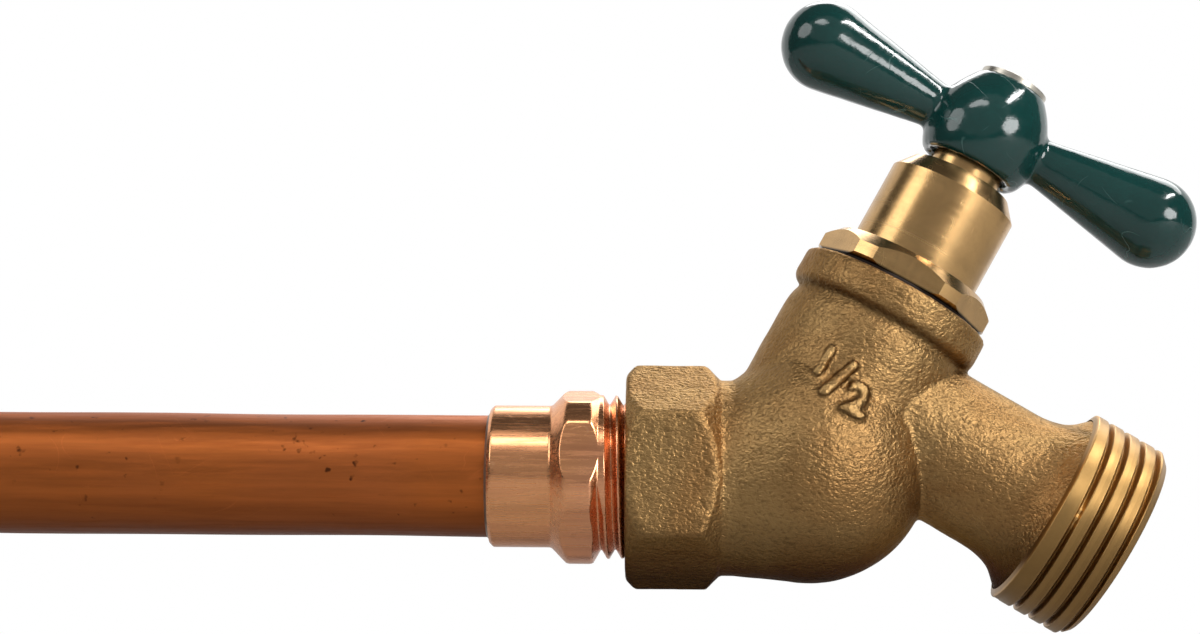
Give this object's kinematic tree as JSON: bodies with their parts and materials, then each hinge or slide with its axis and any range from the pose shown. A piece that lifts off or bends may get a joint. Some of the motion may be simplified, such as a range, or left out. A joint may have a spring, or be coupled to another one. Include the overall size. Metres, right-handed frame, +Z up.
{
  "type": "hose bibb",
  "caption": "Brass hose bibb with an angled threaded spout and a green tee handle on a rising stem, on a threaded copper adapter soldered to a stub of copper pipe.",
  "frame": {"origin": "centre of the supply pipe's free end", "axes": "+X along the supply pipe towards the valve, +Z up; the stem and the spout lie in the XZ plane"},
  "size_m": [0.159, 0.0316, 0.0825],
  "materials": {
    "cast_brass": "sand-cast",
    "machined_brass": "turned",
    "bright_copper": "polished",
    "aged_copper": "oxidised",
    "solder": "satin",
    "green_coating": "glossy dip",
    "cast_core": "cast",
    "screw_steel": "satin",
    "seal_rubber": "matt",
    "fibre_gasket": "matt"
  },
  "bodies": {
    "valve": {"supply_pipe": "aged_copper", "solder_joint": "solder", "copper_adapter": "bright_copper", "valve_body": "cast_brass", "bonnet": "machined_brass", "bonnet_gasket": "fibre_gasket"},
    "seat_disc": {"washer_holder": "machined_brass", "seat_washer": "seal_rubber", "washer_screw": "machined_brass"},
    "spindle": {"stem": "machined_brass", "stem_seal_lower": "seal_rubber", "stem_seal_upper": "seal_rubber", "handle_core": "cast_core", "handle_coat": "green_coating", "lock_washer": "screw_steel", "handle_screw": "screw_steel"}
  },
  "joints": [
    {"name": "stem_lift", "type": "slide", "parent": "valve", "child": "seat_disc", "axis": [0.4863, 0, 0.8738], "range_m": [0, 0.0062]},
    {"name": "handle_turn", "type": "hinge", "parent": "seat_disc", "child": "spindle", "pos_m": [0.1068, 0, 0], "axis": [0.4863, 0, 0.8738], "range_deg": [0, 892.7]}
  ],
  "couplings": [
    {"joint": "stem_lift", "follows": "handle_turn", "m_per_rad": 0.00039789}
  ]
}
